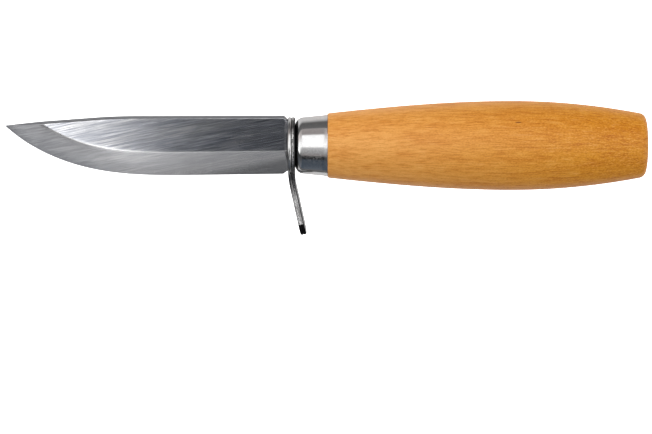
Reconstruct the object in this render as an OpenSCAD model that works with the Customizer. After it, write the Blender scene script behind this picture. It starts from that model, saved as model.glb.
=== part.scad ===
// Wood-carving knife: a stick-tang blade with one wide bevel a side, a stamped
// finger guard, a drawn ferrule and a turned barrel handle.
// The handle's axis is X. The tip points to -X and the butt to +X.
// The spine faces +Y, the edge and the guard's tongue face -Y, and the blade's flats face +Z and -Z.
// The origin is on the axis, where it meets the guard's front face.

/* [Blade] */
// Length of the blade, from the guard to the tip
blade_length = 82; // [70:1:95]
// Thickness across the two flats
blade_thickness = 2.5; // [2.3:0.1:3]
// Height of the spine above the axis, at the guard
spine_height = 8.85; // [8.5:0.05:10]
// Height of the spine above the axis, where it starts to drop
spine_front_height = 8.7; // [8:0.05:8.8]
// Distance ahead of the guard where the spine starts to drop
straight_spine = 50; // [30:1:55]
// Height of the tip above the axis
tip_height = 6.2; // [3:0.1:7]
// Depth of the edge below the axis, at the heel
heel_depth = 8.8; // [8:0.1:9.5]
// Depth of the edge below the axis, where the belly starts
edge_depth = 9.25; // [8.6:0.05:10]
// Length of edge that is straight, ahead of the guard
straight_edge = 31; // [20:1:45]
// Width of each bevel, from the edge to the grind line
bevel_width = 7.6; // [6:0.1:9]
// Thickness left along the edge
edge_land = 0.08; // [0.06:0.01:0.2]

/* [Tang] */
// Length of the tang behind the guard's front face
tang_length = 70; // [40:1:80]
// Width of the tang at the guard
tang_width = 8; // [6:0.1:8]
// Width of the tang near its end
tang_end_width = 5; // [3.5:0.1:6]
// Thickness of the tang
tang_thickness = 2.2; // [1.6:0.1:2.2]

/* [Finger guard] */
// Thickness of the plate's round part
guard_thickness = 2.2; // [1.8:0.1:2.6]
// Radius of the plate's round part
guard_radius = 8.3; // [7.8:0.1:9]
// Reach of the tongue below the axis
guard_reach = 27.9; // [22:0.1:32]
// Width of the tongue
tongue_width = 5.5; // [5:0.5:10]
// Thickness of the tongue
tongue_thickness = 1.8; // [1.2:0.05:1.8]
// Angle of the tongue, bent back towards the handle
tongue_angle = 11.5; // [5:0.5:20]
// Radius of that bend, on the plate's front face
bend_radius = 35; // [25:1:60]

/* [Ferrule] */
// Length of the ferrule
ferrule_length = 9.5; // [8:0.1:14]
// Outer radius where the front shoulder ends
ferrule_front_radius = 8.25; // [7.9:0.05:8.5]
// Outer radius at the wood
ferrule_rear_radius = 9.1; // [8.7:0.05:9.4]
// Radius of the rounded front shoulder
ferrule_shoulder = 2.5; // [1.5:0.1:2.9]
// Thickness of the ferrule's metal
ferrule_wall = 0.8; // [0.6:0.1:1]

/* [Handle] */
// Length of wood that shows
wood_length = 92.6; // [85:0.1:110]
// Radius of the wood at the ferrule
neck_radius = 9.4; // [9.4:0.05:10.5]
// Largest radius of the wood
belly_radius = 13; // [11.5:0.05:15]
// Distance of the largest radius behind the ferrule
belly_position = 53.3; // [40:0.1:60]
// Radius of the wood where the butt's rounding starts
butt_radius = 9.45; // [8.5:0.05:11]
// Radius of the butt's rounded rim
butt_rounding = 2.1; // [1:0.1:3.2]

/* [Hidden] */
$fn = 96;

// Blade: the belly rises about as the cube of its length, and a little of it only at the very tip.
// The spine drops along two straight lines, with an eased bend between them.
belly_length = blade_length - straight_edge;
belly_rise = edge_depth + tip_height;
belly_power = 2.9;
tip_share = 0.06;
tip_power = 12;
belly_steps = 28;
rear_slope = (spine_height - spine_front_height) / straight_spine;
front_slope = (spine_front_height - tip_height) / (blade_length - straight_spine);
spine_ease = 6;
spine_steps = 6;
bevel_slope = (blade_thickness - edge_land) / 2 / bevel_width;
// The grinding wheel passes this far beyond the material on every side
overrun = 2;
// Breaks on the corners at the back of the blade: length along X, then depth
spine_break = [1, 0.9];
edge_break = [1.3, 1.1];
flat_break = [0.8, 0.45];

// Tang and what it passes through
tang_nose = [4, 1.5];
slot_clearance = 0.1;
bore_radius = 4.3;
bore_beyond_tang = 2;
drill_point = 118;

// Ferrule
ferrule_rear = guard_thickness + ferrule_length;
ferrule_taper = atan((ferrule_rear_radius - ferrule_front_radius) / (ferrule_length - ferrule_shoulder));
spigot_clearance = 0.05;
shoulder_steps = 8;

// Finger guard: it bends where the ferrule's flat front ends
bend_start = ferrule_front_radius - ferrule_shoulder * cos(ferrule_taper);
tongue_fillet = 5;
bend_steps = 16;
disc_steps = 40;
fillet_steps = 10;

// Handle: slopes of the barrel at its neck and butt, and the radius of the domed end
neck_slope = 0.11;
butt_slope = 0.19;
barrel_steps = 16;
dome_radius = 100;
dome_steps = 6;
rim_steps = 8;
butt_angle = atan(butt_slope);
rim_centre_radius = butt_radius - butt_rounding * cos(butt_angle);
rim_reach = dome_radius - butt_rounding * sin(butt_angle)
    - sqrt(pow(dome_radius - butt_rounding, 2) - pow(rim_centre_radius, 2));
barrel_length = wood_length - rim_reach;
dome_angle = asin(rim_centre_radius / (dome_radius - butt_rounding));

// Distances d run ahead of the guard, so a point of the blade is at x = -d

function belly_share(d) = max(0, d - straight_edge) / belly_length;

function edge_y(d) = d < straight_edge
    ? -heel_depth - (edge_depth - heel_depth) * d / straight_edge
    : -edge_depth + belly_rise * (
        (1 - tip_share) * pow(belly_share(d), belly_power)
        + tip_share * pow(belly_share(d), tip_power)
    );

function edge_slope(d) = belly_rise / belly_length * (
    (1 - tip_share) * belly_power * pow(belly_share(d), belly_power - 1)
    + tip_share * tip_power * pow(belly_share(d), tip_power - 1)
);

function eased(run) = run < -spine_ease ? 0
    : run > spine_ease ? run
    : pow(run + spine_ease, 2) / (4 * spine_ease);

function spine_y(d) = spine_height - rear_slope * d
    - (front_slope - rear_slope) * eased(d - straight_spine);

// The direction across the bevel, from the edge towards the spine
function across(d) = [edge_slope(d), 1] / norm([edge_slope(d), 1]);

// A point of the bevel's plane: u is its distance from the edge across the bevel
function on_bevel(d, u, z) = let (p = [-d, edge_y(d)] + u * across(d)) [p.x, p.y, z];

function bevel_z(u) = edge_land / 2 + bevel_slope * u;

// A cubic between two radii with a given slope at each end
function eased_radius(r0, r1, m0, m1, run, u) =
    r0 * (1 - 3 * u * u + 2 * u * u * u)
    + r1 * (3 * u * u - 2 * u * u * u)
    + m0 * run * (u - 2 * u * u + u * u * u)
    + m1 * run * (u * u * u - u * u);

// Points along an arc, from one angle to another
function arc(centre, radius, from, to, steps) = [
    for (i = [0:steps])
        let (a = from + (to - from) * i / steps) centre + radius * [cos(a), sin(a)]
];

module revolved_about_x(profile) {
    rotate([0, 90, 0]) rotate_extrude() polygon(profile);
}

module blade_outline() {
    spine_back = [[0, spine_height - spine_break.y], [-spine_break.x, spine_y(spine_break.x)]];
    spine = [
        for (i = [0:spine_steps])
            let (d = straight_spine + spine_ease * (2 * i / spine_steps - 1)) [-d, spine_y(d)]
    ];
    belly = [
        for (i = [belly_steps:-1:0])
            let (d = straight_edge + belly_length * i / belly_steps) [-d, edge_y(d)]
    ];
    heel = [[-edge_break.x, edge_y(edge_break.x)], [0, edge_y(0) + edge_break.y]];
    polygon(concat(spine_back, spine, belly, heel));
}

// What the wheel takes off one side: a strip that follows the edge, with a three-cornered section
module bevel_cut() {
    stations = concat(
        [-overrun, straight_edge / 2],
        [for (i = [0:belly_steps]) straight_edge + belly_length * i / belly_steps],
        [blade_length + overrun, blade_length + 2 * overrun]
    );
    inner = bevel_width + overrun;
    points = [
        for (d = stations) each [
            on_bevel(d, inner, bevel_z(inner)),
            on_bevel(d, -overrun, bevel_z(-overrun)),
            on_bevel(d, -overrun, bevel_z(inner))
        ]
    ];
    last = len(points) - 3;
    sides = [
        for (i = [0:3:last - 3], k = [0:2])
            let (a = i + k, b = i + (k + 1) % 3) each [[a, a + 3, b + 3], [a, b + 3, b]]
    ];
    polyhedron(points, concat([[0, 1, 2]], sides, [[last + 2, last + 1, last]]));
}

// What is taken off one side at the back of the flat, where the blade meets the guard
module flat_end_cut() {
    top = blade_thickness / 2;
    rotate([90, 0, 0])
        linear_extrude(4 * spine_height, center = true)
            polygon([
                [-flat_break.x, top],
                [0, top - flat_break.y],
                [1, top - flat_break.y],
                [1, top + 1],
                [-flat_break.x, top + 1]
            ]);
}

module both_sides() {
    children();
    mirror([0, 0, 1]) children();
}

module tang(length = tang_length) {
    linear_extrude(tang_thickness, center = true)
        polygon([
            [0, tang_width / 2],
            [length - tang_nose.x, tang_end_width / 2],
            [length, tang_end_width / 2 - tang_nose.y],
            [length, tang_nose.y - tang_end_width / 2],
            [length - tang_nose.x, -tang_end_width / 2],
            [0, -tang_width / 2]
        ]);
}

module blade() {
    color("lightsteelblue") union() {
        difference() {
            linear_extrude(blade_thickness, center = true) blade_outline();
            both_sides() bevel_cut();
            both_sides() flat_end_cut();
        }
        tang();
    }
}

module tang_slot() {
    cube([
        4 * guard_thickness,
        tang_width + 2 * slot_clearance,
        tang_thickness + 2 * slot_clearance
    ], center = true);
}

// A point of the guard's front face in the bend, and the way through the plate there
function bend_point(a) = [bend_radius * (1 - cos(a)), -bend_start - bend_radius * sin(a)];

function through(a) = [cos(a), sin(a)];

// The plate thins from its round part to its tongue over the length of the bend
function plate(u) = guard_thickness + (tongue_thickness - guard_thickness) * (3 * u * u - 2 * u * u * u);

// The guard's side view: flat behind the blade, then bent, then straight to its end
module guard_side() {
    shares = [for (i = [0:bend_steps]) i / bend_steps];
    front = [for (u = shares) bend_point(u * tongue_angle)];
    rear = [for (u = shares) bend_point(u * tongue_angle) + plate(u) * through(u * tongue_angle)];
    down = guard_reach * [sin(tongue_angle), -cos(tongue_angle)];
    top = guard_radius + 1;
    polygon(concat(
        [[0, top]],
        front,
        [front[bend_steps] + down, rear[bend_steps] + down],
        [for (i = [bend_steps:-1:0]) rear[i]],
        [[guard_thickness, top]]
    ));
}

// The guard's front view, with Y across the page and Z up it
module guard_front() {
    half = tongue_width / 2;
    fillet = [
        -sqrt(pow(guard_radius + tongue_fillet, 2) - pow(half + tongue_fillet, 2)),
        half + tongue_fillet
    ];
    turn = atan2(fillet.y, fillet.x);
    upper = concat(
        arc([0, 0], guard_radius, 0, turn, disc_steps),
        arc(fillet, tongue_fillet, turn + 180, 270, fillet_steps),
        arc([half - guard_reach, 0], half, 90, 180, fillet_steps)
    );
    lower = [for (i = [len(upper) - 2:-1:1]) [upper[i].x, -upper[i].y]];
    polygon(concat(upper, lower));
}

module finger_guard() {
    color("silver") difference() {
        intersection() {
            linear_extrude(4 * guard_radius, center = true) guard_side();
            rotate([90, 0, 90])
                linear_extrude(2 * guard_reach, center = true) guard_front();
        }
        tang_slot();
    }
}

// The cup's profile from the axis to its rear edge, moved in by a depth of metal
function cup_profile(inset) = let (
    corner = ferrule_shoulder - inset,
    centre = [
        ferrule_front_radius - ferrule_shoulder * cos(ferrule_taper),
        guard_thickness + ferrule_shoulder
    ],
    turns = [for (i = [0:shoulder_steps]) (90 - ferrule_taper) * i / shoulder_steps]
) concat(
    [[0, centre.y - corner]],
    [for (a = turns) centre + corner * [sin(a), -cos(a)]],
    [[ferrule_rear_radius - inset / cos(ferrule_taper), ferrule_rear]]
);

module ferrule() {
    inner = cup_profile(ferrule_wall);
    color("gainsboro") difference() {
        revolved_about_x(concat(
            cup_profile(0),
            [for (i = [len(inner) - 1:-1:0]) inner[i]]
        ));
        tang_slot();
    }
}

function barrel_radius(x) = x < belly_position
    ? eased_radius(neck_radius, belly_radius, neck_slope, 0, belly_position, x / belly_position)
    : let (run = barrel_length - belly_position)
        eased_radius(belly_radius, butt_radius, 0, -butt_slope, run, (x - belly_position) / run);

// The hole drilled for the tang, from inside the ferrule to its pointed end
module tang_bore() {
    front = guard_thickness + ferrule_wall;
    depth = tang_length + bore_beyond_tang - front;
    point = bore_radius / tan(drill_point / 2);
    revolved_about_x([
        [0, front],
        [bore_radius, front],
        [bore_radius, front + depth],
        [0, front + depth + point]
    ]);
}

module handle() {
    ahead = [for (i = [0:barrel_steps - 1]) belly_position * i / barrel_steps];
    behind = [
        for (i = [0:barrel_steps])
            belly_position + (barrel_length - belly_position) * i / barrel_steps
    ];
    barrel = [for (x = concat(ahead, behind)) [barrel_radius(x), ferrule_rear + x]];
    rim_centre = [
        rim_centre_radius,
        ferrule_rear + barrel_length - butt_rounding * sin(butt_angle)
    ];
    rim = [
        for (i = [1:rim_steps])
            let (a = butt_angle + (90 - dome_angle - butt_angle) * i / rim_steps)
                rim_centre + butt_rounding * [cos(a), sin(a)]
    ];
    dome_centre = ferrule_rear + wood_length - dome_radius;
    dome = [
        for (i = [1:dome_steps])
            let (a = dome_angle * (1 - i / dome_steps))
                [dome_radius * sin(a), dome_centre + dome_radius * cos(a)]
    ];
    color("goldenrod") difference() {
        revolved_about_x(concat(
            cup_profile(ferrule_wall + spigot_clearance),
            barrel,
            rim,
            dome
        ));
        tang_bore();
    }
}

module tang_adhesive() {
    color("khaki") difference() {
        tang_bore();
        tang();
    }
}

blade();
finger_guard();
ferrule();
handle();
tang_adhesive();
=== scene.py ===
import math
import random

import bmesh
import bpy
import numpy as np
from mathutils import Matrix, Vector


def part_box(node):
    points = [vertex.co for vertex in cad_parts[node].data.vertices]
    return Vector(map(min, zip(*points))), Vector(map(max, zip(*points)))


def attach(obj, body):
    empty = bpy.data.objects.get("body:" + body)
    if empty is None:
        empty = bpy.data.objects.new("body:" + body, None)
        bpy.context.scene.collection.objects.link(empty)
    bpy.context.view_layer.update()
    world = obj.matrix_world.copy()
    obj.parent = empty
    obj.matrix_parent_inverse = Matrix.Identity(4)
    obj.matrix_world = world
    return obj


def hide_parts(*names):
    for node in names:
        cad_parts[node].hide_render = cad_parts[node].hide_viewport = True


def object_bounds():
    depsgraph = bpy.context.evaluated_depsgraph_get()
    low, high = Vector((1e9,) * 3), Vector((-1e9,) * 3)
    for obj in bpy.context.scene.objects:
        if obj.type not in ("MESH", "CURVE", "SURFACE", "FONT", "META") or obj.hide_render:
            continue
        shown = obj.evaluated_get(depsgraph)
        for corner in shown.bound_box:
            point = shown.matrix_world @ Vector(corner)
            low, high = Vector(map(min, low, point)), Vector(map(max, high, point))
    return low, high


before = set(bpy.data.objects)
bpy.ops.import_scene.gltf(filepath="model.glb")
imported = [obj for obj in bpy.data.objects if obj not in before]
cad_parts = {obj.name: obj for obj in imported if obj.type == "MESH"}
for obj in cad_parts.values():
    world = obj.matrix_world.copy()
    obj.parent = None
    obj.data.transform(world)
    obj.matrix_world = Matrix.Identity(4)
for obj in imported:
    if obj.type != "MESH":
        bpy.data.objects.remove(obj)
cad_low, cad_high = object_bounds()

MM = 0.001
BODY = "root"


# ---------------------------------------------------------------- camera

# How the knife sits in the picture: shares of its width, and the tilt of the view about the handle's axis
FILLS_WIDTH = 0.9828
AXIS_ABOVE_MIDDLE = 0.1097
VIEW_TILT = math.radians(21.5)
LENS = 150.0
SENSOR = 36.0


def make_camera():
    """Looks down on the upper flat, tipped towards the spine, with the tip on the left."""
    data = bpy.data.cameras.new("camera")
    camera = bpy.data.objects.new("camera", data)
    bpy.context.scene.collection.objects.link(camera)
    data.lens = LENS
    data.sensor_width = SENSOR
    data.clip_end = 20
    width = (cad_high.x - cad_low.x) / FILLS_WIDTH
    distance = width * LENS / SENSOR
    right = Vector((1, 0, 0))
    back = Vector((0, math.sin(VIEW_TILT), math.cos(VIEW_TILT)))
    up = back.cross(right)
    middle = Vector(((cad_low.x + cad_high.x) / 2, 0, 0)) - up * (AXIS_ABOVE_MIDDLE * width)
    camera.matrix_world = Matrix.Translation(middle + back * distance) @ Matrix(
        (right, up, back)
    ).transposed().to_4x4()
    bpy.context.scene.camera = camera


# ---------------------------------------------------------------- meshes

def make_piece(name, points, faces, attributes=None, uv=None):
    """A mesh object from points in millimetres, with a number per point for each named attribute."""
    mesh = bpy.data.meshes.new(name)
    mesh.from_pydata([Vector(p) * MM for p in points], [], faces)
    for key, values in (attributes or {}).items():
        layer = mesh.attributes.new(key, "FLOAT", "POINT")
        layer.data.foreach_set("value", values)
    if uv:
        layer = mesh.uv_layers.new(name="brush")
        for loop in mesh.loops:
            layer.data[loop.index].uv = uv(mesh.vertices[loop.vertex_index].co / MM)
    piece = bpy.data.objects.new(name, mesh)
    bpy.context.scene.collection.objects.link(piece)
    return piece


def clean(piece, sharp_angle=30, merge=0.001):
    """Joins doubled points, turns every face outwards and leaves only true corners sharp."""
    mesh = bmesh.new()
    mesh.from_mesh(piece.data)
    bmesh.ops.remove_doubles(mesh, verts=mesh.verts, dist=merge * MM)
    bmesh.ops.dissolve_degenerate(mesh, edges=mesh.edges, dist=merge * MM)
    bmesh.ops.recalc_face_normals(mesh, faces=mesh.faces)
    for face in mesh.faces:
        face.smooth = True
    mesh.to_mesh(piece.data)
    mesh.free()
    piece.data.set_sharp_from_angle(angle=math.radians(sharp_angle))


def combine(piece, other, operation):
    """Cuts the other mesh out of a piece, or joins it on, and leaves only the piece."""
    modifier = piece.modifiers.new("combine", "BOOLEAN")
    modifier.operation = operation
    modifier.object = other
    modifier.solver = "EXACT"
    evaluated = piece.evaluated_get(bpy.context.evaluated_depsgraph_get())
    mesh = bpy.data.meshes.new_from_object(evaluated)
    piece.modifiers.clear()
    old = piece.data
    piece.data = mesh
    bpy.data.meshes.remove(old)
    bpy.data.objects.remove(other)


def block(low, high):
    """A plain box between two corners, in millimetres, to cut with."""
    points = [(x, y, z) for x in (low[0], high[0]) for y in (low[1], high[1]) for z in (low[2], high[2])]
    faces = [(0, 1, 3, 2), (4, 6, 7, 5), (0, 4, 5, 1), (2, 3, 7, 6), (0, 2, 6, 4), (1, 5, 7, 3)]
    return make_piece("cutter", points, faces)


def lathe(name, profile, segments):
    """A turned solid about the X axis from a closed profile of (x, radius) points in millimetres."""
    points, rings = [], []
    for x, radius in profile:
        rings.append(len(points))
        count = 1 if radius == 0 else segments
        for i in range(count):
            a = 2 * math.pi * i / segments
            points.append((x, radius * math.cos(a), radius * math.sin(a)))
    faces = []
    for k in range(len(profile)):
        a, b = rings[k], rings[(k + 1) % len(profile)]
        a_pole, b_pole = profile[k][1] == 0, profile[(k + 1) % len(profile)][1] == 0
        if a_pole and b_pole:
            continue
        for i in range(segments):
            j = (i + 1) % segments
            ring_a = (a,) if a_pole else (a + j, a + i)
            ring_b = (b,) if b_pole else (b + i, b + j)
            faces.append(ring_a + ring_b)
    return make_piece(name, points, faces)


def arc(centre, radius, start, end, steps):
    """Points along an arc, with angles in degrees from +X towards the radius direction."""
    angles = [math.radians(start + (end - start) * i / steps) for i in range(steps + 1)]
    return [(centre[0] + radius * math.cos(a), centre[1] + radius * math.sin(a)) for a in angles]


def smooth_step(low, high, value):
    t = min(1, max(0, (value - low) / (high - low)))
    return t * t * (3 - 2 * t)


def in_mm(node):
    low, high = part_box(node)
    return Vector(low) / MM, Vector(high) / MM


def adopt(piece, node, material):
    """Puts a piece in the place of its CAD node."""
    piece.data.materials.clear()
    piece.data.materials.append(material)
    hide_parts(node)
    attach(piece, BODY)


# ---------------------------------------------------------------- blade

# The blade's outline, as the CAD draws it, in millimetres
SPINE_REAR_HEIGHT, SPINE_FRONT_HEIGHT = 8.85, 8.7
STRAIGHT_SPINE = 50.0
SPINE_EASE = 6.0
TIP_HEIGHT = 6.2
HEEL_DEPTH = 8.8
STRAIGHT_EDGE = 31.0
BELLY_POWER, TIP_SHARE, TIP_POWER = 2.9, 0.06, 12
BEVEL_WIDTH = 7.6
EDGE_LAND = 0.08
SPINE_BREAK = (1.0, 0.9)
EDGE_BREAK = (1.3, 1.1)
FLAT_BREAK = (0.8, 0.45)
TANG_WIDTH, TANG_END_WIDTH, TANG_THICKNESS = 8.0, 5.0, 2.2
TANG_NOSE = (4.0, 1.5)
SLOT_CLEARANCE = 0.1
# What grinding and stropping leave behind
SPINE_CORNER = 0.16
GRIND_LINE_HALF = 0.24
BEVEL_BULGE = 0.07
# The mesh: the height at the edge with closer rows, the rows across the bevel, the grind line and the flat,
# where its stations close up towards the tip, and the length at the tip where they are closest
EDGE_ZONE = 0.28
BEVEL_ROWS, LINE_ROWS, FLAT_ROWS = 15, 9, 14
FINE_FROM, FINEST_LENGTH = 66.0, 1.0
# The direction of the scratches on the flats, rising towards the handle
SCRATCH_ANGLE = math.radians(12)


class BladeShape:
    """The height of the spine and edge, and the thickness between, at a distance ahead of the guard."""

    def __init__(self):
        low, high = in_mm("blade")
        self.length = -low.x
        self.edge_depth = -low.y
        self.half_thickness = high.z
        self.tang_length = high.x
        self.rise = self.edge_depth + TIP_HEIGHT
        self.rear_slope = (SPINE_REAR_HEIGHT - SPINE_FRONT_HEIGHT) / STRAIGHT_SPINE
        self.front_slope = (SPINE_FRONT_HEIGHT - TIP_HEIGHT) / (self.length - STRAIGHT_SPINE)
        self.bevel_slope = (self.half_thickness - EDGE_LAND / 2) / BEVEL_WIDTH
        # The edge as a close row of points, begun a little behind the guard, to measure distances from
        d = np.linspace(-3, self.length, 2400)
        self.edge_line = np.stack([d, self.edge(d)], axis=1)

    def edge(self, d):
        share = np.clip(d - STRAIGHT_EDGE, 0, None) / (self.length - STRAIGHT_EDGE)
        drop = (self.edge_depth - HEEL_DEPTH) * np.minimum(d, STRAIGHT_EDGE) / STRAIGHT_EDGE
        return -HEEL_DEPTH - drop + self.rise * (
            (1 - TIP_SHARE) * share**BELLY_POWER + TIP_SHARE * share**TIP_POWER
        )

    def spine(self, d):
        run = d - STRAIGHT_SPINE
        eased = np.where(
            np.abs(run) < SPINE_EASE, (run + SPINE_EASE) ** 2 / (4 * SPINE_EASE), np.clip(run, 0, None)
        )
        return SPINE_REAR_HEIGHT - self.rear_slope * d - (self.front_slope - self.rear_slope) * eased

    def spine_end(self, d):
        """The spine with the break on its corner at the guard."""
        back = self.spine(SPINE_BREAK[0])
        return np.minimum(self.spine(d), back - SPINE_BREAK[1] * (1 - d / SPINE_BREAK[0]))

    def edge_end(self, d):
        """The edge with the break on its corner at the guard."""
        back = self.edge(EDGE_BREAK[0])
        return np.maximum(self.edge(d), back + EDGE_BREAK[1] * (1 - d / EDGE_BREAK[0]))

    def from_edge(self, d, y):
        """Distances from the edge, measured square to it."""
        gaps = self.edge_line[None, :, :] - np.stack([np.full_like(y, d), y], axis=1)[:, None, :]
        return np.sqrt((gaps**2).sum(axis=2).min(axis=1))

    def half(self, d, y):
        """Half the thickness, with the bevel bulged a little and the grind line just rounded."""
        u = self.from_edge(d, y)
        across = np.clip(u / BEVEL_WIDTH, 0, 1)
        bevel = EDGE_LAND / 2 + self.bevel_slope * u + 4 * BEVEL_BULGE * across * (1 - across)
        flat = self.half_thickness - FLAT_BREAK[1] * max(0, 1 - d / FLAT_BREAK[0])
        blend = 2 * self.bevel_slope * GRIND_LINE_HALF
        near = np.clip(blend - np.abs(bevel - flat), 0, None) / blend
        return np.minimum(bevel, flat) - near**2 * blend / 4


def blade_stations(length):
    """Distances ahead of the guard, closer together at the heel and towards the tip."""
    heel = [0.0, 0.1, 0.25, 0.4, 0.55, 0.7, 0.8, 0.9, 1.0, 1.15, 1.3, 1.5]
    body = list(np.arange(2.0, FINE_FROM, 0.5))
    front = list(np.arange(FINE_FROM, length - FINEST_LENGTH, 0.2))
    tip = [length - FINEST_LENGTH + FINEST_LENGTH * (1 - (1 - i / 14) ** 2) for i in range(15)]
    return heel + body + front + tip


def blade_column(shape, d):
    """One side of the blade at a station, from the edge to mid spine.

    Each point is its height, half the thickness there, and the shares of polish, bevel and spine.
    """
    edge, spine = float(shape.edge_end(d)), float(shape.spine_end(d))
    height = max(spine - edge, 0)
    ys = np.linspace(edge, spine, 160)
    distance = shape.from_edge(d, ys)
    line = float(np.interp(BEVEL_WIDTH, distance, ys)) if height > 0 else edge
    corner = min(SPINE_CORNER, 0.25 * height)
    top = spine - corner
    line = min(line, top)
    rows = [edge + min(EDGE_ZONE, 0.1 * height) * s for s in (0, 0.5, 1)]
    rows += list(np.linspace(rows[-1], max(rows[-1], line - GRIND_LINE_HALF), BEVEL_ROWS)[1:])
    around = np.linspace(line - GRIND_LINE_HALF, line + GRIND_LINE_HALF, LINE_ROWS)[1:]
    rows += [min(top, max(rows[-1], y)) for y in around]
    rows += list(np.linspace(rows[-1], top, FLAT_ROWS)[1:])
    rows = np.array(rows)
    z = shape.half(d, rows)
    u = shape.from_edge(d, rows)
    flat_there = smooth_step(0.1, 1.0, top - line)
    polish = np.clip(1 - np.abs(u - BEVEL_WIDTH) / (1.3 * GRIND_LINE_HALF), 0, 1) * flat_there
    bevel = (u < BEVEL_WIDTH).astype(float)
    column = [(y, h, p, b, 0.0) for y, h, p, b in zip(rows, z, polish, bevel)]
    shoulder = z[-1]
    depth = min(corner, 0.8 * shoulder)
    for i in range(1, 5):
        a = math.pi / 2 * i / 4
        column.append((top + corner * math.sin(a), shoulder - depth * (1 - math.cos(a)), 0.0, 0.0, i / 4))
    column.append((spine, 0.0, 0.0, 0.0, 1.0))
    return column


def blade_faces(stations, ring):
    """Bands of faces between neighbouring stations, and the heel closed across."""
    faces = []
    for i in range(stations - 1):
        for k in range(ring):
            a, b = i * ring + k, i * ring + (k + 1) % ring
            faces.append((a, b, b + ring, a + ring))
    for k in range(ring // 2):
        other = ring - 1 - k
        if k + 1 == other - 1:
            faces.append((k, k + 1, other))
        elif k + 1 < other - 1:
            faces.append((k, k + 1, other - 1, other))
    return faces


def blade_piece(material):
    shape = BladeShape()
    points = []
    values = {"polish": [], "bevel": [], "spine": []}
    stations = blade_stations(shape.length)
    for d in stations:
        upper = blade_column(shape, d)
        lower = [(y, -z, p, b, s) for y, z, p, b, s in reversed(upper[:-1])]
        for y, z, polish, bevel, spine in upper + lower:
            points.append((-d, y, z))
            values["polish"].append(polish)
            values["bevel"].append(bevel)
            values["spine"].append(spine)
    faces = blade_faces(len(stations), len(points) // len(stations))
    along = Vector((math.cos(SCRATCH_ANGLE), math.sin(SCRATCH_ANGLE), 0))
    across = Vector((-along.y, along.x, 0))
    piece = make_piece("blade_ground", points, faces, values, lambda p: (p.dot(across), p.dot(along)))
    clean(piece, 35, 0.002)
    combine(piece, tang(shape.tang_length), "UNION")
    clean(piece, 35, 0.0005)
    adopt(piece, "blade", material)
    return piece


def tang(length):
    """The bar behind the blade, a little way into its heel so that the two join."""
    nose, narrow = TANG_NOSE
    wide, end = TANG_WIDTH / 2, TANG_END_WIDTH / 2
    side = [(-0.02, wide), (length - nose, end), (length, end - narrow)]
    outline = side + [(x, -y) for x, y in reversed(side)]
    count, half = len(outline), TANG_THICKNESS / 2
    points = [(x, y, z) for z in (-half, half) for x, y in outline]
    faces = [tuple(range(count - 1, -1, -1)), tuple(range(count, 2 * count))]
    faces += [(i, (i + 1) % count, (i + 1) % count + count, i + count) for i in range(count)]
    return make_piece("tang", points, faces)


def tang_hole(low_x, high_x):
    width, thickness = TANG_WIDTH / 2 + SLOT_CLEARANCE, TANG_THICKNESS / 2 + SLOT_CLEARANCE
    return block((low_x, -width, -thickness), (high_x, width, thickness))


# ---------------------------------------------------------------- finger guard

GUARD_THICKNESS, TONGUE_THICKNESS = 2.2, 1.8
TONGUE_WIDTH = 5.5
TONGUE_FILLET = 5.0
TONGUE_ANGLE = math.radians(11.5)
BEND_RADIUS = 35.0
BEND_START = 5.77
# The sheared rim, from the front face to the rear: depth into the plate, and how far it is set back
RIM = [
    (0.00, 0.66), (0.03, 0.42), (0.09, 0.25), (0.18, 0.12), (0.30, 0.04), (0.46, 0.00), (0.66, 0.00),
    (0.82, 0.02), (0.94, 0.07), (1.02, 0.17), (1.08, 0.24), (1.14, 0.24), (1.20, 0.15), (1.28, 0.09),
    (1.38, 0.07), (1.50, 0.07), (1.62, 0.06), (1.74, 0.08), (1.86, 0.10), (1.98, 0.14), (2.08, 0.20),
    (2.16, 0.30), (2.20, 0.42),
]
FRACTURE_FROM = 1.05
FRACTURE_ROUGHNESS = 0.03
# The round part turns into the tongue between these distances below the axis
TONGUE_BEGINS = (9.5, 13.0)
# Length of the tongue's end painted black as a dark reflection, and half the width of its faded border
PAINTED_BLACK_LENGTH, PAINTED_BLACK_BLEND = 4.1, 0.5
# Painted shade along two lines of the round part's rim, at these depths into the plate and with this half
# width: the shadow where the blade's heel meets the plate, and the dark step at the fracture
SHADE_LINES = (0.10, 1.20)
SHADE_LINE_HALF = 0.22
CROSS_STEPS = 12


def guard_outline(radius, reach):
    """Half of the flat plate's outline, from its top to the tongue's end, as (down, across) points."""
    half = TONGUE_WIDTH / 2
    aside = half + TONGUE_FILLET
    fillet = (math.sqrt((radius + TONGUE_FILLET) ** 2 - aside**2), aside)
    turn = math.degrees(math.atan2(fillet[1], fillet[0]))
    disc = arc((0, 0), radius, 180, turn, 84)
    web = arc(fillet, TONGUE_FILLET, turn + 180, 270, 14)[1:]
    straight_end = reach - half
    side = [(web[-1][0] + (straight_end - web[-1][0]) * i / 34, half) for i in range(1, 35)]
    end = arc((straight_end, 0), half, 90, 0, 20)[1:]
    return disc + web + side + end


def outward(outline):
    """The outward direction at each point of the half outline."""
    normals = [(-1.0, 0.0)]
    for before, after in zip(outline, outline[2:]):
        along = Vector((after[0] - before[0], after[1] - before[1])).normalized()
        normals.append((-along.y, along.x))
    return normals + [(1.0, 0.0)]


def plate_share(down):
    """How far through the bend a point lies, from 0 at its start to 1 at its end."""
    return min(1, max(0, (down - BEND_START) / (BEND_RADIUS * TONGUE_ANGLE)))


def plate_thickness(down):
    u = plate_share(down)
    return GUARD_THICKNESS + (TONGUE_THICKNESS - GUARD_THICKNESS) * (3 * u * u - 2 * u**3)


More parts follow.
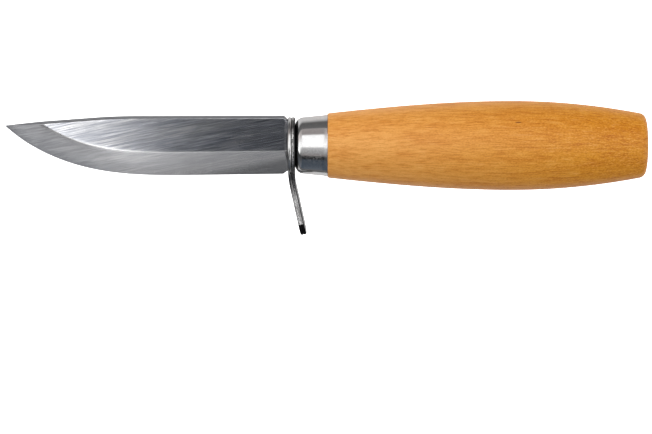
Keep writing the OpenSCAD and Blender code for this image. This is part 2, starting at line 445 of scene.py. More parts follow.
def bent(down, across, depth):
    """A point of the flat plate, moved to where it is after bending."""
    a = plate_share(down) * TONGUE_ANGLE
    past = max(0, down - BEND_START - BEND_RADIUS * TONGUE_ANGLE)
    x = BEND_RADIUS * (1 - math.cos(a)) + past * math.sin(a)
    y = -min(down, BEND_START) - BEND_RADIUS * math.sin(a) - past * math.cos(a)
    depth *= plate_thickness(down) / GUARD_THICKNESS
    return (x + depth * math.cos(a), y + depth * math.sin(a), across)


def unbent_reach(lowest):
    """Length of the flat plate below the axis whose end comes down to a given depth."""
    arc_drop = BEND_START + BEND_RADIUS * math.sin(TONGUE_ANGLE)
    return BEND_START + BEND_RADIUS * TONGUE_ANGLE + (lowest - arc_drop) / math.cos(TONGUE_ANGLE)


def tongue_share(down):
    """How far a point has passed from the round part, which is 0, to the tongue, which is 1."""
    return smooth_step(*TONGUE_BEGINS, down)


def set_back(inset, down):
    """How far the rim is set back, which is less on the narrow tongue."""
    return inset * (1 - 0.45 * tongue_share(down))


class PlateMesh:
    """The guard plate's points and faces, with the shares that its look reads at each point."""

    def __init__(self, outline):
        self.outline = outline
        self.normals = outward(outline)
        self.count = len(outline)
        self.painted_black_from = outline[-1][0] - PAINTED_BLACK_LENGTH
        self.points, self.faces = [], []
        self.values = {"cut": [], "scale": [], "rear": [], "crease": []}

    def add(self, i, down, across, depth, **shares):
        """Adds a point that belongs to point i of the outline, and gives its number."""
        blend = PAINTED_BLACK_BLEND
        flat_down = self.outline[i][0]
        shares["scale"] = smooth_step(self.painted_black_from - blend, self.painted_black_from + blend, flat_down)
        for key, share in shares.items():
            self.values[key].append(share)
        self.points.append(bent(down, across, depth))
        return len(self.points) - 1

    def rim_ring(self, depth, inset, draw):
        """The rim at a depth into the plate: down one side to the tongue's end, then down the other."""
        torn = smooth_step(FRACTURE_FROM - 0.05, FRACTURE_FROM + 0.05, depth)
        wear_and_painted_shade = smooth_step(GUARD_THICKNESS, GUARD_THICKNESS - 0.12, depth)
        # The share of painted shade towards the rear face
        rear = smooth_step(GUARD_THICKNESS - 0.55, GUARD_THICKNESS - 0.25, depth)
        line_shade = max(0, *(1 - abs(depth - at) / SHADE_LINE_HALF for at in SHADE_LINES))
        ring = []
        for side in (1, -1):
            for i, (down, across) in enumerate(self.outline):
                if side < 0 and i in (0, self.count - 1):
                    ring.append(ring[i])
                    continue
                rough = max(torn, tongue_share(down) * smooth_step(0.06, 0.3, depth))
                jitter = rough * wear_and_painted_shade * FRACTURE_ROUGHNESS * draw.uniform(-1, 1)
                move = jitter - set_back(inset, down)
                down += self.normals[i][0] * move
                across = side * max(across + self.normals[i][1] * move, 0)
                crease = (1 - tongue_share(down)) * line_shade
                ring.append(self.add(i, down, across, depth, cut=rough, rear=rear, crease=crease))
        return ring

    def face_rows(self, ring, depth, inset):
        """Rows of points across the front or rear face, inside its ring of the rim."""
        rear = 1.0 if depth > GUARD_THICKNESS / 2 else 0.0
        rows = [[ring[0]] * (CROSS_STEPS + 1)]
        for i in range(1, self.count - 1):
            move = set_back(inset, self.outline[i][0])
            down = self.outline[i][0] - self.normals[i][0] * move
            edge = self.outline[i][1] - self.normals[i][1] * move
            row = [ring[i]]
            for k in range(1, CROSS_STEPS):
                across = edge * (1 - 2 * k / CROSS_STEPS)
                row.append(self.add(i, down, across, depth, cut=0.0, rear=rear, crease=0.0))
            row.append(ring[self.count + i])
            rows.append(row)
        rows.append([ring[self.count - 1]] * (CROSS_STEPS + 1))
        return rows

    def join_rings(self, a, b):
        for start in (0, self.count):
            for i in range(start, start + self.count - 1):
                self.faces.append((a[i], a[i + 1], b[i + 1], b[i]))

    def join_rows(self, a, b):
        for k in range(CROSS_STEPS):
            corners = tuple(dict.fromkeys((a[k], a[k + 1], b[k + 1], b[k])))
            if len(corners) > 2:
                self.faces.append(corners)


def guard_piece(material):
    low, high = in_mm("finger_guard")
    plate = PlateMesh(guard_outline(high.y, unbent_reach(-low.y)))
    draw = random.Random(11)
    rings = [plate.rim_ring(depth, inset, draw) for depth, inset in RIM]
    for a, b in zip(rings, rings[1:]):
        plate.join_rings(a, b)
    for end in (0, -1):
        rows = plate.face_rows(rings[end], *RIM[end])
        for a, b in zip(rows, rows[1:]):
            plate.join_rows(a, b)
    piece = make_piece("guard_plate", plate.points, plate.faces, plate.values)
    clean(piece, 40)
    combine(piece, tang_hole(-1, GUARD_THICKNESS + 1), "DIFFERENCE")
    clean(piece, 40, 0.0005)
    adopt(piece, "finger_guard", material)
    return piece


# ---------------------------------------------------------------- ferrule

FERRULE_FRONT_RADIUS = 8.25
FERRULE_SHOULDER = 2.5
FERRULE_WALL = 0.8
# The mouth is belled out a little where it grips the wood, and its edge is rolled
BELL = (1.7, 0.15)
ROLLED_EDGE = 0.16
TURNED_SEGMENTS = 192


def ferrule_piece(material):
    low, high = in_mm("ferrule")
    front, rear, rear_radius = low.x, high.x, high.y
    run = rear - front - FERRULE_SHOULDER
    taper = math.degrees(math.atan2(rear_radius - FERRULE_FRONT_RADIUS, run))
    centre_radius = FERRULE_FRONT_RADIUS - FERRULE_SHOULDER * math.cos(math.radians(taper))
    centre = (front + FERRULE_SHOULDER, centre_radius)

    def shell(inset, belled):
        shoulder = arc(centre, FERRULE_SHOULDER - inset, 180, 90 + taper, 14)
        start_x, start_r = shoulder[-1]
        end_r = rear_radius - inset / math.cos(math.radians(taper)) - belled
        wall = []
        for i in range(1, 25):
            x = start_x + (rear - start_x) * i / 24
            radius = start_r + (end_r - start_r) * i / 24
            radius += belled * smooth_step(rear - BELL[0], rear, x) ** 1.5
            wall.append((x, radius))
        face = [(front + inset, centre[1] * k / 5) for k in range(5)]
        return face + shoulder + wall

    outside, inside = shell(0, BELL[1]), shell(FERRULE_WALL, 0)
    top = outside.pop()
    outside += arc((rear - ROLLED_EDGE, top[1] - ROLLED_EDGE), ROLLED_EDGE, 90, 0, 5)
    piece = lathe("ferrule_cup", outside + list(reversed(inside)), TURNED_SEGMENTS)
    clean(piece, 40)
    combine(piece, tang_hole(front - 1, front + FERRULE_WALL + 1), "DIFFERENCE")
    clean(piece, 40, 0.0005)
    adopt(piece, "ferrule", material)
    return piece


# ---------------------------------------------------------------- handle

NECK_RADIUS, NECK_SLOPE = 9.4, 0.11
BELLY_POSITION = 53.3
BUTT_RADIUS, BUTT_SLOPE = 9.45, 0.19
BUTT_ROUNDING = 2.1
DOME_RADIUS = 100.0
SPIGOT_CLEARANCE = 0.05
BORE_RADIUS = 4.3
BORE_DEPTH = 72.0
DRILL_POINT = math.radians(118)
# The sanded corner at the ferrule, and the faint waves that turning leaves
NECK_CORNER = 0.22
TURNING_WAVE, TURNING_PITCH = 0.012, 6.3


def eased_radius(r0, r1, m0, m1, run, u):
    """A cubic from one radius to another over a run, with the slope at each end, at a share of the way."""
    return (
        r0 * (1 - 3 * u * u + 2 * u**3)
        + r1 * (3 * u * u - 2 * u**3)
        + m0 * run * (u - 2 * u * u + u**3)
        + m1 * run * (u**3 - u * u)
    )


def barrel_outline(wood, end, belly):
    """The turned outside, from the ferrule's mouth to the middle of the butt, as (x, radius) points."""
    slope = math.atan(BUTT_SLOPE)
    rim_radius = BUTT_RADIUS - BUTT_ROUNDING * math.cos(slope)
    rim_reach = DOME_RADIUS - BUTT_ROUNDING * math.sin(slope) - math.sqrt(
        (DOME_RADIUS - BUTT_ROUNDING) ** 2 - rim_radius**2
    )
    barrel = end - wood - rim_reach

    def barrel_radius(x):
        if x < BELLY_POSITION:
            return eased_radius(NECK_RADIUS, belly, NECK_SLOPE, 0, BELLY_POSITION, x / BELLY_POSITION)
        run = barrel - BELLY_POSITION
        return eased_radius(belly, BUTT_RADIUS, 0, -BUTT_SLOPE, run, (x - BELLY_POSITION) / run)

    def wave(x):
        ripple = math.sin(2 * x / TURNING_PITCH) * math.sin(0.7 * x / TURNING_PITCH)
        return TURNING_WAVE * (ripple - 1) / 2 * smooth_step(0, 4, x) * smooth_step(barrel, barrel - 4, x)

    outside = arc((wood + NECK_CORNER, NECK_RADIUS - NECK_CORNER), NECK_CORNER, 180, 96, 5)
    for i in range(1, 121):
        x = NECK_CORNER + (barrel - NECK_CORNER) * i / 120
        outside.append((wood + x, barrel_radius(x) + wave(x)))
    rim_centre = (wood + barrel - BUTT_ROUNDING * math.sin(slope), rim_radius)
    dome_angle = math.asin(rim_radius / (DOME_RADIUS - BUTT_ROUNDING))
    outside += arc(rim_centre, BUTT_ROUNDING, 90 - math.degrees(slope), math.degrees(dome_angle), 14)[1:]
    for i in range(1, 11):
        a = dome_angle * (1 - i / 10)
        radius = DOME_RADIUS * math.sin(a) if i < 10 else 0
        outside.append((end - DOME_RADIUS * (1 - math.cos(a)), radius))
    return outside


def inner_outline(cup_low, cup_high):
    """The inside: the bore from its point forwards, then the spigot in the ferrule, back to its mouth."""
    inset = FERRULE_WALL + SPIGOT_CLEARANCE
    wood = cup_high.x
    taper = math.atan2(cup_high.y - FERRULE_FRONT_RADIUS, wood - cup_low.x - FERRULE_SHOULDER)
    corner = FERRULE_SHOULDER - inset
    centre = (cup_low.x + FERRULE_SHOULDER, FERRULE_FRONT_RADIUS - FERRULE_SHOULDER * math.cos(taper))
    point = BORE_DEPTH + BORE_RADIUS / math.tan(DRILL_POINT / 2)
    bore = [(point, 0), (BORE_DEPTH, BORE_RADIUS), (centre[0] - corner, BORE_RADIUS)]
    spigot = arc(centre, corner, 180, 90 + math.degrees(taper), 8)
    return bore + spigot + [(wood, cup_high.y - inset / math.cos(taper))]


def handle_piece(material):
    high = in_mm("handle")[1]
    cup_low, cup_high = in_mm("ferrule")
    profile = inner_outline(cup_low, cup_high) + barrel_outline(cup_high.x, high.x, high.y)
    piece = lathe("handle_turned", profile, TURNED_SEGMENTS)
    clean(piece, 32)
    adopt(piece, "handle", material)
    return piece


# ---------------------------------------------------------------- materials

class Look:
    """A node material: each method adds one node and gives back its output."""

    def __init__(self, name):
        self.material = bpy.data.materials.new(name)
        self.material.use_nodes = True
        self.tree = self.material.node_tree
        self.shader = self.tree.nodes["Principled BSDF"]
        self.place = self.tree.nodes.new("ShaderNodeTexCoord").outputs["Object"]

    def set(self, **values):
        for key, value in values.items():
            self.shader.inputs[key.replace("_", " ")].default_value = value

    def plug(self, source, target):
        self.tree.links.new(source, target)

    def stretched(self, scale, turn=0.0):
        """The object's own coordinates, turned about Z and scaled, per metre."""
        node = self.tree.nodes.new("ShaderNodeMapping")
        node.vector_type = "TEXTURE"
        node.inputs["Rotation"].default_value = (0, 0, turn)
        node.inputs["Scale"].default_value = tuple(1 / s for s in scale)
        self.plug(self.place, node.inputs["Vector"])
        return node.outputs["Vector"]

    def noise(self, vector, detail=2.0, roughness=0.5, distortion=0.0):
        node = self.tree.nodes.new("ShaderNodeTexNoise")
        node.inputs["Scale"].default_value = 1.0
        node.inputs["Detail"].default_value = detail
        node.inputs["Roughness"].default_value = roughness
        node.inputs["Distortion"].default_value = distortion
        self.plug(vector, node.inputs["Vector"])
        return node.outputs["Fac"]

    def cells(self, vector):
        node = self.tree.nodes.new("ShaderNodeTexVoronoi")
        node.inputs["Scale"].default_value = 1.0
        self.plug(vector, node.inputs["Vector"])
        return node.outputs["Distance"]

    def along(self, axis):
        """The object's own coordinate along X, Y or Z, in metres."""
        node = self.tree.nodes.new("ShaderNodeSeparateXYZ")
        self.plug(self.place, node.inputs[0])
        return node.outputs[axis]

    def attribute(self, name):
        node = self.tree.nodes.new("ShaderNodeAttribute")
        node.attribute_name = name
        return node.outputs["Fac"]

    def spread(self, value, low, high, to_low=0.0, to_high=1.0):
        node = self.tree.nodes.new("ShaderNodeMapRange")
        node.interpolation_type = "SMOOTHSTEP"
        for key, number in (("From Min", low), ("From Max", high), ("To Min", to_low), ("To Max", to_high)):
            node.inputs[key].default_value = number
        self.plug(value, node.inputs["Value"])
        return node.outputs["Result"]

    def math(self, operation, a, b):
        node = self.tree.nodes.new("ShaderNodeMath")
        node.operation = operation
        for socket, value in zip(node.inputs, (a, b)):
            if isinstance(value, (int, float)):
                socket.default_value = value
            else:
                self.plug(value, socket)
        return node.outputs[0]

    def mix(self, factor, a, b, blend="MIX"):
        node = self.tree.nodes.new("ShaderNodeMix")
        node.data_type = "RGBA"
        node.blend_type = blend
        for socket, value in ((node.inputs[0], factor), (node.inputs[6], a), (node.inputs[7], b)):
            if isinstance(value, tuple):
                socket.default_value = value + (1,)
            else:
                self.plug(value, socket)
        return node.outputs[2]

    def bump(self, height, strength, distance):
        node = self.tree.nodes.new("ShaderNodeBump")
        node.inputs["Strength"].default_value = strength
        node.inputs["Distance"].default_value = distance
        self.plug(height, node.inputs["Height"])
        self.plug(node.outputs["Normal"], self.shader.inputs["Normal"])


def blade_look():
    """Ground and brushed carbon steel, bluish in places: long slanting scratches, a polished grind line."""
    look = Look("blade_steel")
    fine = look.noise(look.stretched((85, 4200, 2000), SCRATCH_ANGLE), 3, 0.6)
    medium = look.noise(look.stretched((110, 2400, 800), SCRATCH_ANGLE), 2, 0.55)
    broad = look.noise(look.stretched((45, 420, 200), SCRATCH_ANGLE), 2, 0.5)
    cloud = look.noise(look.stretched((38, 70, 60)), 2, 0.5)
    bevel, polish, spine = look.attribute("bevel"), look.attribute("polish"), look.attribute("spine")
    steel = look.mix(look.spread(cloud, 0.35, 0.65), (0.56, 0.57, 0.60), (0.62, 0.62, 0.625))
    steel = look.mix(look.spread(broad, 0.4, 0.65, 0, 0.7), steel, (0.40, 0.42, 0.47))
    steel = look.mix(look.spread(medium, 0.4, 0.7, 0, 0.7), steel, (0.33, 0.34, 0.39))
    steel = look.mix(look.spread(fine, 0.36, 0.54, 0.6, 0), steel, (0.29, 0.30, 0.34))
    steel = look.mix(look.spread(fine, 0.50, 0.66, 0, 0.55), steel, (0.86, 0.86, 0.87))
    steel = look.mix(look.math("MULTIPLY", bevel, 0.62), steel, (0.66, 0.655, 0.66))
    # Painted shade: the bevel is darkened below a line that falls from the heel towards the tip, so only
    # the lower bevel near the heel
    below_shade_line = look.math("SUBTRACT", look.math("MULTIPLY", look.along("X"), 0.24), look.along("Y"))
    wear_and_painted_shade = look.math("MULTIPLY", look.spread(below_shade_line, 0.002, 0.005, 0, 0.85), bevel)
    steel = look.mix(wear_and_painted_shade, steel, (0.33, 0.333, 0.345))
    steel = look.mix(look.spread(spine, 0.1, 0.8), steel, (0.24, 0.245, 0.26))
    steel = look.mix(polish, steel, (0.95, 0.95, 0.95))
    look.plug(steel, look.shader.inputs["Base Color"])
    rough = look.spread(medium, 0.25, 0.75, 0.10, 0.17)
    rough = look.math("ADD", rough, look.math("MULTIPLY", bevel, 0.045))
    rough = look.math("ADD", rough, look.math("MULTIPLY", spine, 0.2))
    look.plug(rough, look.shader.inputs["Roughness"])
    height = look.math("ADD", look.math("MULTIPLY", medium, 0.6), look.math("MULTIPLY", fine, 0.4))
    height = look.math("ADD", height, look.math("MULTIPLY", broad, 0.8))
    look.bump(height, 0.35, 0.00002)
    tangent = look.tree.nodes.new("ShaderNodeTangent")
    tangent.direction_type = "UV_MAP"
    tangent.uv_map = "brush"
    look.plug(tangent.outputs["Tangent"], look.shader.inputs["Tangent"])
    look.set(Metallic=1.0, Anisotropic=0.92)
    return look.material


def guard_look():
    """Tumbled plate: a glittering torn band where it sheared, painted shade on two lines of the rim, below
    the axis and on the rear face, and a tongue end painted black as a dark reflection.
    """
    look = Look("guard_steel")
    grain = look.noise(look.stretched((2600, 2600, 2600)), 3, 0.65)
    pits = look.noise(look.stretched((4200, 2600, 4200)), 2, 0.6)
    cloud = look.noise(look.stretched((420, 190, 420)), 2, 0.5)
    cut = look.attribute("cut")
    smooth = look.mix(look.spread(grain, 0.35, 0.7), (0.70, 0.695, 0.69), (0.60, 0.59, 0.59))
    torn = look.mix(look.spread(pits, 0.40, 0.56), (0.05, 0.048, 0.048), (0.90, 0.89, 0.88))
    torn = look.mix(look.spread(cloud, 0.46, 0.62, 0.0, 0.75), torn, (0.14, 0.135, 0.135))
    height = look.along("Y")
    tongue = look.spread(height, -0.0150, -0.0120, 1, 0)
    torn = look.mix(look.math("MULTIPLY", tongue, 0.35), torn, (0.95, 0.94, 0.93))
    steel = look.mix(cut, smooth, torn)
    # Painted shade: the plate darkens below the axis, from a little under it down to where the tongue
    # begins
    above_tongue = look.spread(height, -0.0128, -0.0108)
    below_axis = look.spread(height, -0.005, -0.002, 0.75, 0)
    steel = look.mix(look.math("MULTIPLY", above_tongue, below_axis), steel, (0.10, 0.099, 0.098))
    # Painted shade along the two lines of the rim
    steel = look.mix(look.math("MULTIPLY", look.attribute("crease"), 0.95), steel, (0.02, 0.02, 0.021))
    # Painted shade on the rear face and the back of the rim, which face the ferrule across a narrow gap
    steel = look.mix(look.attribute("rear"), steel, (0.05, 0.05, 0.052))
    # Painted dark reflection: the tongue's end is made near black
    scale = look.math("ADD", look.attribute("scale"), look.math("MULTIPLY", pits, 0.5))
    steel = look.mix(look.spread(scale, 0.6, 0.85), steel, (0.012, 0.012, 0.013))
    look.plug(steel, look.shader.inputs["Base Color"])
    rough = look.math("MULTIPLY", cut, look.spread(tongue, 0, 1, 0.24, 0.45))
    rough = look.math("ADD", look.spread(grain, 0.3, 0.7, 0.10, 0.17), rough)
    look.plug(rough, look.shader.inputs["Roughness"])
    relief = look.math("ADD", look.math("MULTIPLY", grain, 0.3), look.math("MULTIPLY", pits, cut))
    look.bump(relief, 0.6, 0.00008)
    look.set(Metallic=1.0)
    return look.material


def ferrule_look():
    """Drawn and polished steel: smooth, with the faint orange peel of deep drawing and light hoop marks."""
    look = Look("ferrule_steel")
    peel = look.noise(look.stretched((900, 900, 900)), 3, 0.55)
    speckle = look.noise(look.stretched((3800, 3800, 3800)), 2, 0.6)
    hoops = look.noise(look.stretched((6500, 60, 60)), 2, 0.5)
    steel = look.mix(look.spread(speckle, 0.3, 0.7), (0.66, 0.655, 0.66), (0.78, 0.775, 0.77))
    look.plug(steel, look.shader.inputs["Base Color"])
    look.plug(look.spread(speckle, 0.25, 0.75, 0.07, 0.14), look.shader.inputs["Roughness"])
    height = look.math("ADD", peel, look.math("MULTIPLY", hoops, 0.15))
    look.bump(height, 0.045, 0.00008)
    look.set(Metallic=1.0)
    return look.material


# The fleck's middle on the handle, and half its length and width, in metres
FLECK_PLACE = (0.0663, 0.0100, 0.0082)
FLECK_SIZE = (0.0009, 0.00024)


def fleck(look, place, size):
    """A short dark pith fleck that lies along the grain, from its middle and its half length and width."""
    offset = look.tree.nodes.new("ShaderNodeVectorMath")
    offset.operation = "SUBTRACT"
    offset.inputs[1].default_value = place
    look.plug(look.place, offset.inputs[0])
    scaled = look.tree.nodes.new("ShaderNodeVectorMath")
    scaled.operation = "DIVIDE"
    scaled.inputs[1].default_value = (size[0], size[1], size[1])
    look.plug(offset.outputs["Vector"], scaled.inputs[0])
    length = look.tree.nodes.new("ShaderNodeVectorMath")
    length.operation = "LENGTH"
    look.plug(scaled.outputs["Vector"], length.inputs[0])
    return look.spread(length.outputs["Value"], 0.6, 1.3, 0.8, 0)


def birch_look():
    """Honey-stained birch under satin lacquer, with its fibres along the handle and one dark fleck."""
    look = Look("birch")
    fibre = look.noise(look.stretched((190, 2700, 2700)), 3, 0.65)
    streak = look.noise(look.stretched((42, 900, 900)), 3, 0.55, 0.3)
    rings = look.noise(look.stretched((9, 150, 150)), 2, 0.5, 0.6)
    cloud = look.noise(look.stretched((18, 50, 50)), 2, 0.5)
    pores = look.noise(look.stretched((1700, 3400, 3400)), 2, 0.65)
    behind = look.along("X")
    # Painted shade: the wood grows darker and redder from the neck towards the butt
    wood = look.mix(look.spread(behind, 0.012, 0.100), (0.82, 0.392, 0.098), (0.70, 0.290, 0.018))
    wood = look.mix(look.spread(rings, 0.35, 0.7), wood, (0.93, 0.86, 0.74), "MULTIPLY")
    wood = look.mix(look.spread(cloud, 0.45, 0.7), wood, (0.96, 0.93, 0.85), "MULTIPLY")
    wood = look.mix(look.spread(streak, 0.45, 0.75), wood, (0.86, 0.74, 0.58), "MULTIPLY")
    wood = look.mix(look.spread(fibre, 0.45, 0.72), wood, (0.77, 0.63, 0.46), "MULTIPLY")
    wood = look.mix(look.spread(fibre, 0.30, 0.48, 0.3, 0), wood, (0.92, 0.52, 0.17))
    dark_pores = look.spread(pores, 0.5, 0.66)
    stipple = look.math("MULTIPLY", dark_pores, look.spread(behind, 0.02, 0.09, 0.5, 1.0))
    wood = look.mix(stipple, wood, (0.82, 0.70, 0.54), "MULTIPLY")
    pale_pores = look.spread(pores, 0.30, 0.46, 1, 0)
    glint = look.math("MULTIPLY", pale_pores, look.spread(behind, 0.02, 0.09, 0.2, 0.5))
    wood = look.mix(glint, wood, (0.86, 0.44, 0.09))
    wood = look.mix(fleck(look, FLECK_PLACE, FLECK_SIZE), wood, (0.16, 0.045, 0.012))
    look.plug(wood, look.shader.inputs["Base Color"])
    look.plug(look.spread(fibre, 0.3, 0.7, 0.42, 0.55), look.shader.inputs["Roughness"])
    relief = look.math("ADD", look.math("MULTIPLY", fibre, 0.6), look.math("MULTIPLY", streak, 0.5))
    look.bump(relief, 0.3, 0.00005)
    look.set(Coat_Weight=0.2, Coat_Roughness=0.3, Specular_IOR_Level=0.2)
    return look.material


def epoxy_look():
    """Set glue, hidden inside the handle: amber, cloudy, with small bubbles."""
    look = Look("epoxy")
    cloud = look.noise(look.stretched((300, 300, 300)), 3, 0.6)
    bubbles = look.cells(look.stretched((1400, 1400, 1400)))
    colour = look.mix(look.spread(cloud, 0.3, 0.7), (0.62, 0.47, 0.24), (0.74, 0.62, 0.40))
    look.plug(colour, look.shader.inputs["Base Color"])
    look.plug(look.spread(cloud, 0.3, 0.7, 0.2, 0.4), look.shader.inputs["Roughness"])
    look.bump(look.spread(bubbles, 0.0, 0.25), 0.3, 0.0001)
    return look.material


# ---------------------------------------------------------------- stage

# Tints of the light
PLAIN, COOL, BLUE, WARM = (1, 1, 1), (0.88, 0.95, 1.08), (0.70, 0.88, 1.12), (1.05, 0.97, 0.95)
# The floor is lit in a band under the knife, and falls away past these distances from its middle, in metres
LIT_MIDDLE = -0.022
LIT_TO = (0.038, 0.058)


def make_floor():
    """A pale sheet lit from below as well, so that it shows no edge and next to no shadow."""
    bpy.ops.mesh.primitive_plane_add(size=4, location=(0, 0, cad_low.z))
    floor = bpy.context.object
    floor.name = "floor"
    look = Look("floor")
    look.set(Roughness=0.9)
    away = look.math("ABSOLUTE", look.math("SUBTRACT", look.along("Y"), LIT_MIDDLE), 0.0)
    path = look.tree.nodes.new("ShaderNodeLightPath")
    reflected = look.math("MULTIPLY", path.outputs["Is Glossy Ray"], 0.45)
    pale = look.mix(look.spread(away, *LIT_TO), (0.85, 0.85, 0.85), (0.2, 0.2, 0.2))
    look.plug(look.mix(reflected, pale, (0, 0, 0)), look.shader.inputs["Base Color"])
    glow = look.spread(away, *LIT_TO, 0.55, 0.02)
    glow = look.math("MULTIPLY", glow, look.math("SUBTRACT", 1.0, reflected))
    glow = look.math("ADD", glow, path.outputs["Is Camera Ray"])
    look.set(Emission_Color=(1, 1, 1, 1))
    look.plug(glow, look.shader.inputs["Emission Strength"])
    floor.data.materials.append(look.material)


# What two strips of the tent share on the spine's side, and the strip that shades the ferrule's dark band
SPINE_SIDE = [(6, 0.7, PLAIN), (16, 1.5, PLAIN), (60, 1.5, PLAIN), (70, 0.3, WARM), (100, 0.3, WARM)]
FERRULE_STRIP = [
    (-100, 0.12, BLUE), (-42, 0.09, BLUE), (-34, 0.01, COOL), (-26, 0.01, COOL), (-20, 0.24, WARM),
    (-8, 0.34, PLAIN), (8, 0.55, PLAIN), (18, 1.5, PLAIN), (58, 1.4, PLAIN), (67, 0.34, WARM),
    (100, 0.42, WARM),
]
# The tent, as strips by the share of their direction that points towards the tip, which is below zero
# behind the butt. A strip has the brightness and tint at angles about the handle's axis, in degrees from
# straight up towards the spine.
TENT = {
    -0.750: [(-70, 0.3, PLAIN), (-45, 1.6, PLAIN), (0, 2.0, PLAIN), (30, 0.9, PLAIN)],
    -0.450: [
        (-60, 0.22, COOL), (-30, 0.2, COOL), (-6, 0.2, COOL), (16, 1.2, PLAIN), (60, 1.2, PLAIN),
        (70, 0.3, WARM),
    ],
    0.010: [
        (-100, 0.26, COOL), (-60, 0.16, COOL), (-42, 0.0, COOL), (-33, 0.72, PLAIN), (-29, 0.05, COOL),
        (-6, 0.05, COOL), *SPINE_SIDE,
    ],
    0.065: [
        (-100, 0.22, COOL), (-60, 0.22, COOL), (-47, 0.25, PLAIN), (-36, 0.72, PLAIN), (-31, 0.10, COOL),
        (-10, 0.08, COOL), *SPINE_SIDE,
    ],
    0.108: [
        (-100, 0.16, COOL), (-60, 0.2, COOL), (-46, 0.45, PLAIN), (-36, 0.75, PLAIN), (-29, 2.7, PLAIN),
        (-8, 3.0, PLAIN), (12, 1.6, PLAIN), (60, 1.5, PLAIN), (70, 0.3, WARM), (100, 0.3, WARM),
    ],
    0.140: FERRULE_STRIP,
    0.200: FERRULE_STRIP,
    0.320: [
        (-100, 0.12, BLUE), (-42, 0.10, BLUE), (-34, 0.03, COOL), (-26, 0.05, COOL), (-20, 0.30, WARM),
        (-8, 0.45, PLAIN), (8, 0.6, PLAIN), (18, 1.4, PLAIN), (58, 1.3, PLAIN), (67, 0.36, WARM),
        (100, 0.42, WARM),
    ],
    0.450: [
        (-80, 0.2, COOL), (-32, 0.1, PLAIN), (-20, 0.3, PLAIN), (0, 0.6, PLAIN), (18, 1.3, PLAIN),
        (80, 0.5, WARM),
    ],
    0.650: [
        (-80, 0.15, COOL), (-32, 0.05, PLAIN), (-20, 0.1, PLAIN), (0, 0.4, PLAIN), (18, 1.3, PLAIN),
        (80, 0.5, WARM),
    ],
    0.800: [
        (-80, 0.15, COOL), (-30, 0.08, PLAIN), (-20, 1.6, PLAIN), (-12, 2.6, PLAIN), (2, 2.2, PLAIN),
        (18, 1.6, PLAIN), (70, 0.8, WARM),
    ],
}
# The ramps hold shares of this brightness
TENT_PEAK = 3.0


def share_between(tree, value, low, high):
    """How far a value lies from low, which gives 0, to high, which gives 1."""
    node = tree.nodes.new("ShaderNodeMapRange")
    node.inputs["From Min"].default_value = low
    node.inputs["From Max"].default_value = high
    tree.links.new(value, node.inputs["Value"])
    return node.outputs["Result"]


def tent_strip(tree, around, bands):
    """The light of one strip, as a ramp about the handle's axis."""
    ramp = tree.nodes.new("ShaderNodeValToRGB")
    ramp.color_ramp.interpolation = "EASE"
    stops = ramp.color_ramp.elements
    stops.remove(stops[1])
    for k, (degrees, brightness, tint) in enumerate(bands):
        position = (degrees + 180) / 360
        stop = stops.new(position) if k else stops[0]
        stop.position = position
        stop.color = tuple(brightness / TENT_PEAK * t for t in tint) + (1,)
    tree.links.new(around, ramp.inputs[0])
    return ramp.outputs[0]


def tent_colour(tree):
    """The strips of the tent, blended from each to the next."""
    split = tree.nodes.new("ShaderNodeSeparateXYZ")
    tree.links.new(tree.nodes.new("ShaderNodeTexCoord").outputs["Generated"], split.inputs[0])
    turn = tree.nodes.new("ShaderNodeMath")
    turn.operation = "ARCTAN2"
    tree.links.new(split.outputs["Y"], turn.inputs[0])
    tree.links.new(split.outputs["Z"], turn.inputs[1])
    around = share_between(tree, turn.outputs[0], -math.pi, math.pi)
    slants = list(TENT)
    colour = tent_strip(tree, around, TENT[slants[0]])
    for last, slant in zip(slants, slants[1:]):
        mix = tree.nodes.new("ShaderNodeMix")
        mix.data_type = "RGBA"
        tree.links.new(share_between(tree, split.outputs["X"], -last, -slant), mix.inputs[0])
        tree.links.new(colour, mix.inputs[6])
        tree.links.new(tent_strip(tree, around, TENT[slant]), mix.inputs[7])
        colour = mix.outputs[2]
    return colour


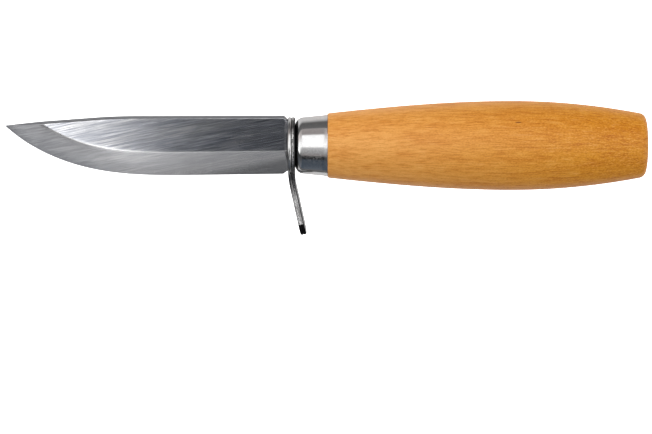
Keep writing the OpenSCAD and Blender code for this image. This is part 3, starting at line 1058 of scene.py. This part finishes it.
def make_world():
    """A tent of cloth round the knife, which the camera sees as plain white."""
    world = bpy.data.worlds.new("tent")
    bpy.context.scene.world = world
    world.use_nodes = True
    tree = world.node_tree
    tree.nodes.clear()
    tent, sky = (tree.nodes.new("ShaderNodeBackground") for _ in range(2))
    tree.links.new(tent_colour(tree), tent.inputs["Color"])
    tent.inputs["Strength"].default_value = TENT_PEAK
    sky.inputs["Color"].default_value = (1, 1, 1, 1)
    blend = tree.nodes.new("ShaderNodeMixShader")
    path = tree.nodes.new("ShaderNodeLightPath")
    tree.links.new(path.outputs["Is Camera Ray"], blend.inputs[0])
    tree.links.new(tent.outputs[0], blend.inputs[1])
    tree.links.new(sky.outputs[0], blend.inputs[2])
    tree.links.new(blend.outputs[0], tree.nodes.new("ShaderNodeOutputWorld").inputs[0])


# Wide soft lights that show in no reflection: the angle of each about the handle's axis, and its power
FILLS = ((86, 7.0), (-78, 2.7))
FILL_SIZE, FILL_DISTANCE, FILL_SLANT = 0.7, 1.2, -0.25
# The panel for the blade: what it is aimed at, and its direction, distance, size and power
PANEL_AIM, PANEL_TOWARD, PANEL_DISTANCE = (-0.06, 0, 0), (-0.24, -0.56, 0.79), 1.0
PANEL_SIZE, PANEL_POWER = (0.30, 0.16), 0.13


def soft_light(name, size, power, aim, toward, distance):
    """An area light at a distance from its aim, which it faces."""
    data = bpy.data.lights.new(name, "AREA")
    data.shape = "RECTANGLE"
    data.size, data.size_y = size
    data.energy = power
    light = bpy.data.objects.new(name, data)
    bpy.context.scene.collection.objects.link(light)
    toward = Vector(toward).normalized()
    light.location = Vector(aim) + toward * distance
    light.rotation_euler = toward.to_track_quat("Z", "Y").to_euler()
    return light


def make_fills():
    for degrees, power in FILLS:
        angle = math.radians(degrees)
        toward = (FILL_SLANT, math.sin(angle), math.cos(angle))
        fill = soft_light("fill", (FILL_SIZE, FILL_SIZE), power, (0, 0, 0), toward, FILL_DISTANCE)
        fill.visible_glossy = False


def make_blade_panel(blade):
    """A soft panel that lights only the blade, for the curve of its bevel."""
    panel = soft_light("blade_panel", PANEL_SIZE, PANEL_POWER, PANEL_AIM, PANEL_TOWARD, PANEL_DISTANCE)
    lit = bpy.data.collections.new("lit_by_blade_panel")
    lit.objects.link(blade)
    panel.light_linking.receiver_collection = lit


# ---------------------------------------------------------------- the knife

make_camera()
blade = blade_piece(blade_look())
guard_piece(guard_look())
ferrule_piece(ferrule_look())
handle_piece(birch_look())
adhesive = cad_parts["tang_adhesive"]
adhesive.data.materials.clear()
adhesive.data.materials.append(epoxy_look())
make_floor()
make_world()
make_fills()
make_blade_panel(blade)
bpy.context.scene.view_settings.view_transform = "Standard"
